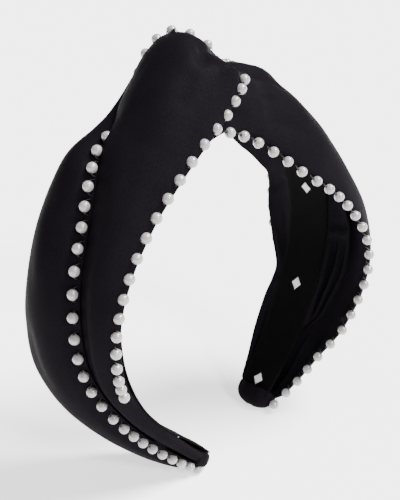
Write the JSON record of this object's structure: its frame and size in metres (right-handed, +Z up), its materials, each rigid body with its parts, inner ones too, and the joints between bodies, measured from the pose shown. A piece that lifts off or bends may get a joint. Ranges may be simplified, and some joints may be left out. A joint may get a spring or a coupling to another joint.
{
  "type": "knotted headband",
  "caption": "Padded black satin headband with a raised loop knot at the crown, edges trimmed with white pearls and a ribbon lining.",
  "frame": {"origin": "middle of the bounding box at the table the two tips stand on", "axes": "+X from the left leg to the right leg, +Y from the front to the back, +Z up to the knot"},
  "size_m": [0.1486, 0.066, 0.165],
  "materials": {
    "black_satin": "satin, soft sheen",
    "black_velvet": "matte ribbon",
    "black_plastic": "moulded",
    "grey_foam": "open foam, hidden",
    "pearl": "pearl lustre"
  },
  "bodies": {
    "crown": {"crown_back_pearls": "pearl", "crown_band": "black_plastic", "crown_foam_pad": "grey_foam", "crown_front_pearls": "pearl", "crown_lining": "black_velvet", "knot_back_pearls": "pearl", "knot_foam_pad": "grey_foam", "knot_front_pearls": "pearl", "knot_over_loop": "black_satin", "knot_under_loop": "black_satin"},
    "left_arm": {"left_back_strip": "black_satin", "left_band": "black_plastic", "left_foam_pad": "grey_foam", "left_front_pearls": "pearl", "left_front_strip": "black_satin", "left_inner_layer": "black_satin", "left_lining": "black_velvet", "left_middle_pearls": "pearl", "left_tip_fold": "black_satin"},
    "right_arm": {"right_back_pearls": "pearl", "right_band": "black_plastic", "right_foam_pad": "grey_foam", "right_front_pearls": "pearl", "right_inner_layer": "black_satin", "right_lining": "black_velvet", "right_outer_strip": "black_satin", "right_tip_fold": "black_satin"}
  },
  "joints": [
    {"name": "left_arm_flex", "type": "hinge", "parent": "crown", "child": "left_arm", "pos_m": [-0.03376, 0.0019, 0.12648], "axis": [0, 1, 0], "range_deg": [0, 14], "stiffness_Nm_per_rad": 1},
    {"name": "right_arm_flex", "type": "hinge", "parent": "crown", "child": "right_arm", "pos_m": [0.03327, 0.00231, 0.12616], "axis": [0, -1, 0], "range_deg": [0, 14], "stiffness_Nm_per_rad": 1}
  ]
}
